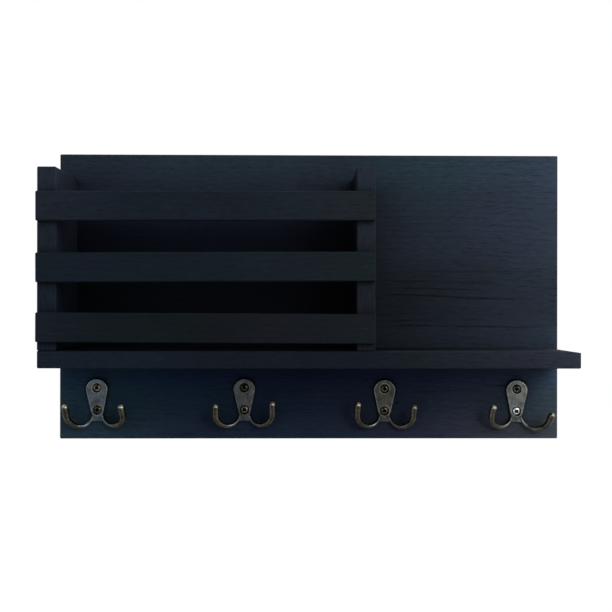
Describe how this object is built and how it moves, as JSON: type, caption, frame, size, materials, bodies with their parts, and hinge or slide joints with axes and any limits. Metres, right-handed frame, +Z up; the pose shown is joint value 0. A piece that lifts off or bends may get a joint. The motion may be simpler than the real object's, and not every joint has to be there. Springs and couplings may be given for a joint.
{
  "type": "wall mail organizer",
  "caption": "Dark-stained wooden wall organizer: flat backboard, full-width shelf with a slatted mail pocket at its left, and cast double-prong coat hooks below.",
  "frame": {"origin": "centre of the backboard's flat rear face, which lies against the wall", "axes": "+X to the right seen from the front, +Z up, +Y into the wall; the front of the organizer faces -Y"},
  "size_m": [0.4301, 0.087, 0.245],
  "materials": {
    "stained_wood": "matt near-black blue stain over fine open grain",
    "antique_hook_metal": "antique bronze plating over a casting, rubbed brighter on the prongs",
    "hook_screw_metal": "antique bronze plated cross-head screws",
    "hanger_steel": "zinc-plated pressed steel",
    "zinc_fastener": "bright zinc-plated steel"
  },
  "bodies": {
    "root": {"backboard": "stained_wood", "shelf": "stained_wood", "side_panel_left": "stained_wood", "side_panel_right": "stained_wood", "slat_top": "stained_wood", "slat_middle": "stained_wood", "slat_bottom": "stained_wood", "brads_top_slat": "zinc_fastener", "brads_middle_slat": "zinc_fastener", "brads_bottom_slat": "zinc_fastener", "coat_hook_1": "antique_hook_metal", "coat_hook_2": "antique_hook_metal", "coat_hook_3": "antique_hook_metal", "coat_hook_4": "antique_hook_metal", "hook_1_screws": "hook_screw_metal", "hook_2_screws": "hook_screw_metal", "hook_3_screws": "hook_screw_metal", "hook_4_screws": "hook_screw_metal", "rear_screws_left_panel": "zinc_fastener", "rear_screws_right_panel": "zinc_fastener", "rear_screws_shelf": "zinc_fastener", "under_screws_left_panel": "zinc_fastener", "under_screws_right_panel": "zinc_fastener", "hanger_plate_left": "hanger_steel", "hanger_plate_right": "hanger_steel", "hanger_screws_left": "zinc_fastener", "hanger_screws_right": "zinc_fastener"}
  },
  "joints": []
}
